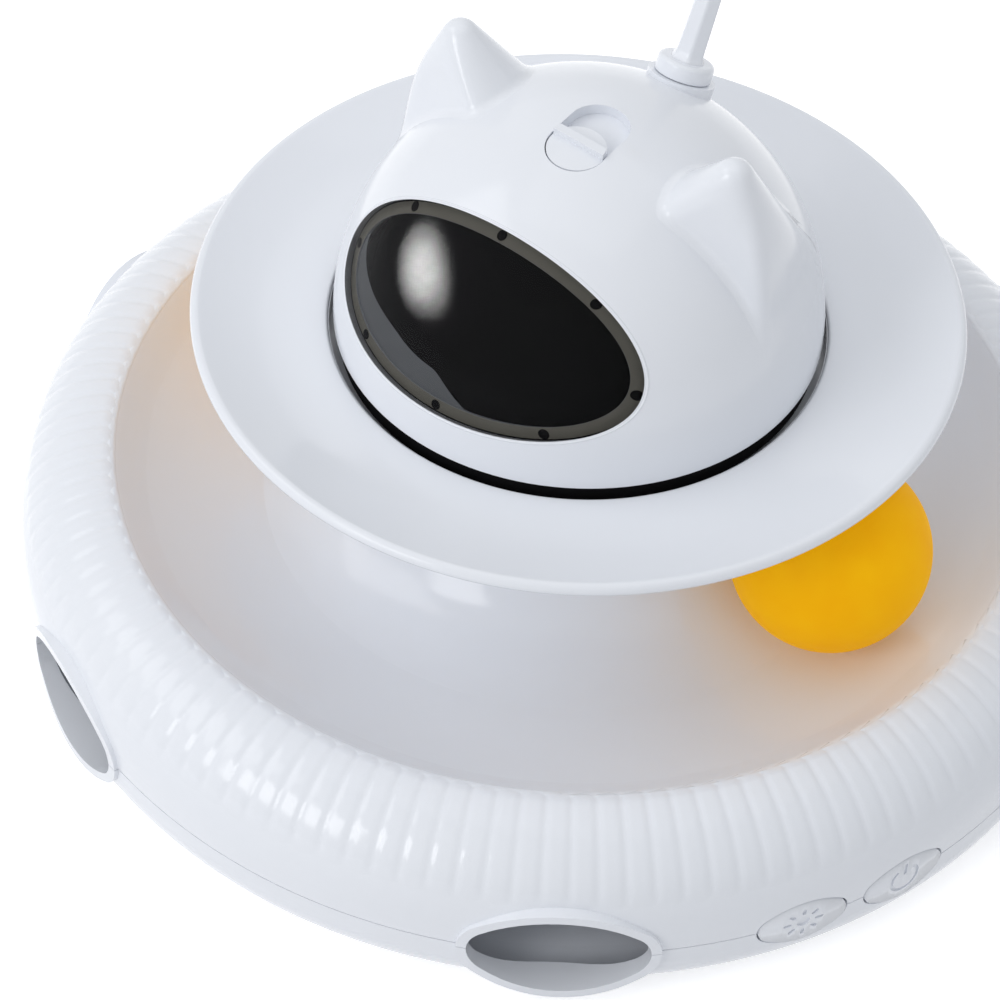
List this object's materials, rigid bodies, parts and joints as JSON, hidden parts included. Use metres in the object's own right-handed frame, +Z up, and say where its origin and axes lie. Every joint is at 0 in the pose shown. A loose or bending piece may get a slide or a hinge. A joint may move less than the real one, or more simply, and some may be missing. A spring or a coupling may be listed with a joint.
{
  "type": "electronic interactive cat toy",
  "caption": "Round cat toy: ribbed base with peep holes and a ball track under a saucer deck, and a turning cat head with smoked visor, slide switch and teaser wand.",
  "frame": {"origin": "on the floor under the centre of the round base, at the bottom of the rubber feet", "axes": "+Z up along the axis that the head, the balls and the feather arm turn about; -Y towards the front peep hole; +X to the right, so that the two push buttons lie at the front right"},
  "size_m": [0.226, 0.2278, 0.2783],
  "materials": {
    "white_plastic": "high gloss injection moulded white, faintly cool",
    "foot_rubber": "matt grey rubber",
    "steel": "bright zinc plated steel",
    "motor_steel": "drawn steel can",
    "inner_plastic": "matt light grey inner moulding",
    "gear_plastic": "natural acetal",
    "clip_plastic": "satin orange",
    "feather": "dyed soft feather",
    "cell_wrap": "shrink wrap",
    "black_plastic": "gloss black",
    "circuit_board": "green solder mask",
    "brass": "turned brass",
    "smoke_lens": "polished smoked acrylic",
    "ball_plastic": "smooth satin orange yellow"
  },
  "bodies": {
    "base": {"base_tray": "white_plastic", "base_shell": "white_plastic", "deck": "white_plastic", "rubber_feet": "foot_rubber", "case_screws": "steel", "deck_screws": "steel", "chassis_plate": "inner_plastic", "chassis_screws": "steel", "feather_motor": "motor_steel", "carrier_keeper": "steel", "battery_cell": "cell_wrap", "battery_holder": "black_plastic", "main_board": "circuit_board", "charge_socket": "steel", "button_board": "circuit_board", "button_switches": "black_plastic", "head_motor": "motor_steel", "head_bush": "brass"},
    "head": {"head_turntable": "black_plastic", "head_gear": "gear_plastic", "spindle_clip": "steel", "head_shell": "white_plastic", "head_screws": "steel", "visor": "smoke_lens", "laser_module": "brass", "laser_bracket": "black_plastic", "head_board": "circuit_board", "slide_switch": "steel", "wand_collar": "white_plastic", "wand_rod": "white_plastic", "wand_tip": "white_plastic", "wand_plume": "feather"},
    "slider": {"slider_knob": "white_plastic"},
    "laser_button": {"laser_button": "white_plastic"},
    "power_button": {"power_button": "white_plastic"},
    "carrier": {"feather_carrier": "gear_plastic", "feather_clip": "clip_plastic", "ambush_feather": "feather"},
    "feather_pinion": {"feather_pinion": "gear_plastic"},
    "head_pinion": {"head_pinion": "gear_plastic"},
    "ball_1": {"ball_1": "ball_plastic"},
    "ball_2": {"ball_2": "ball_plastic"}
  },
  "joints": [
    {"name": "head_turn", "type": "hinge", "parent": "base", "child": "head", "pos_m": [0, 0, 0], "axis": [0, 0, 1], "continuous": true},
    {"name": "head_pinion_turn", "type": "hinge", "parent": "base", "child": "head_pinion", "pos_m": [0, 0.0217, 0], "axis": [0, 0, 1], "continuous": true},
    {"name": "slider_slide", "type": "slide", "parent": "head", "child": "slider", "axis": [0.5885, 0.8055, 0.0697], "range_m": [0, 0.007]},
    {"name": "laser_button_press", "type": "slide", "parent": "base", "child": "laser_button", "axis": [-0.4099, 0.9121, 0], "range_m": [0, 0.0012], "stiffness_N_per_m": 600},
    {"name": "power_button_press", "type": "slide", "parent": "base", "child": "power_button", "axis": [-0.585, 0.8111, 0], "range_m": [0, 0.0012], "stiffness_N_per_m": 600},
    {"name": "feather_turn", "type": "hinge", "parent": "base", "child": "carrier", "pos_m": [0, 0, 0], "axis": [0, 0, 1], "continuous": true},
    {"name": "feather_pinion_turn", "type": "hinge", "parent": "base", "child": "feather_pinion", "pos_m": [0, 0.0217, 0], "axis": [0, 0, 1], "continuous": true},
    {"name": "ball_1_roll", "type": "hinge", "parent": "base", "child": "ball_1", "pos_m": [0, 0, 0], "axis": [0, 0, 1], "continuous": true},
    {"name": "ball_2_roll", "type": "hinge", "parent": "ball_1", "child": "ball_2", "pos_m": [0, 0, 0], "axis": [0, 0, 1], "range_deg": [-144, 137]}
  ],
  "couplings": [
    {"joint": "head_pinion_turn", "follows": "head_turn", "ratio": -2.8571},
    {"joint": "feather_pinion_turn", "follows": "feather_turn", "ratio": -2.8571}
  ]
}
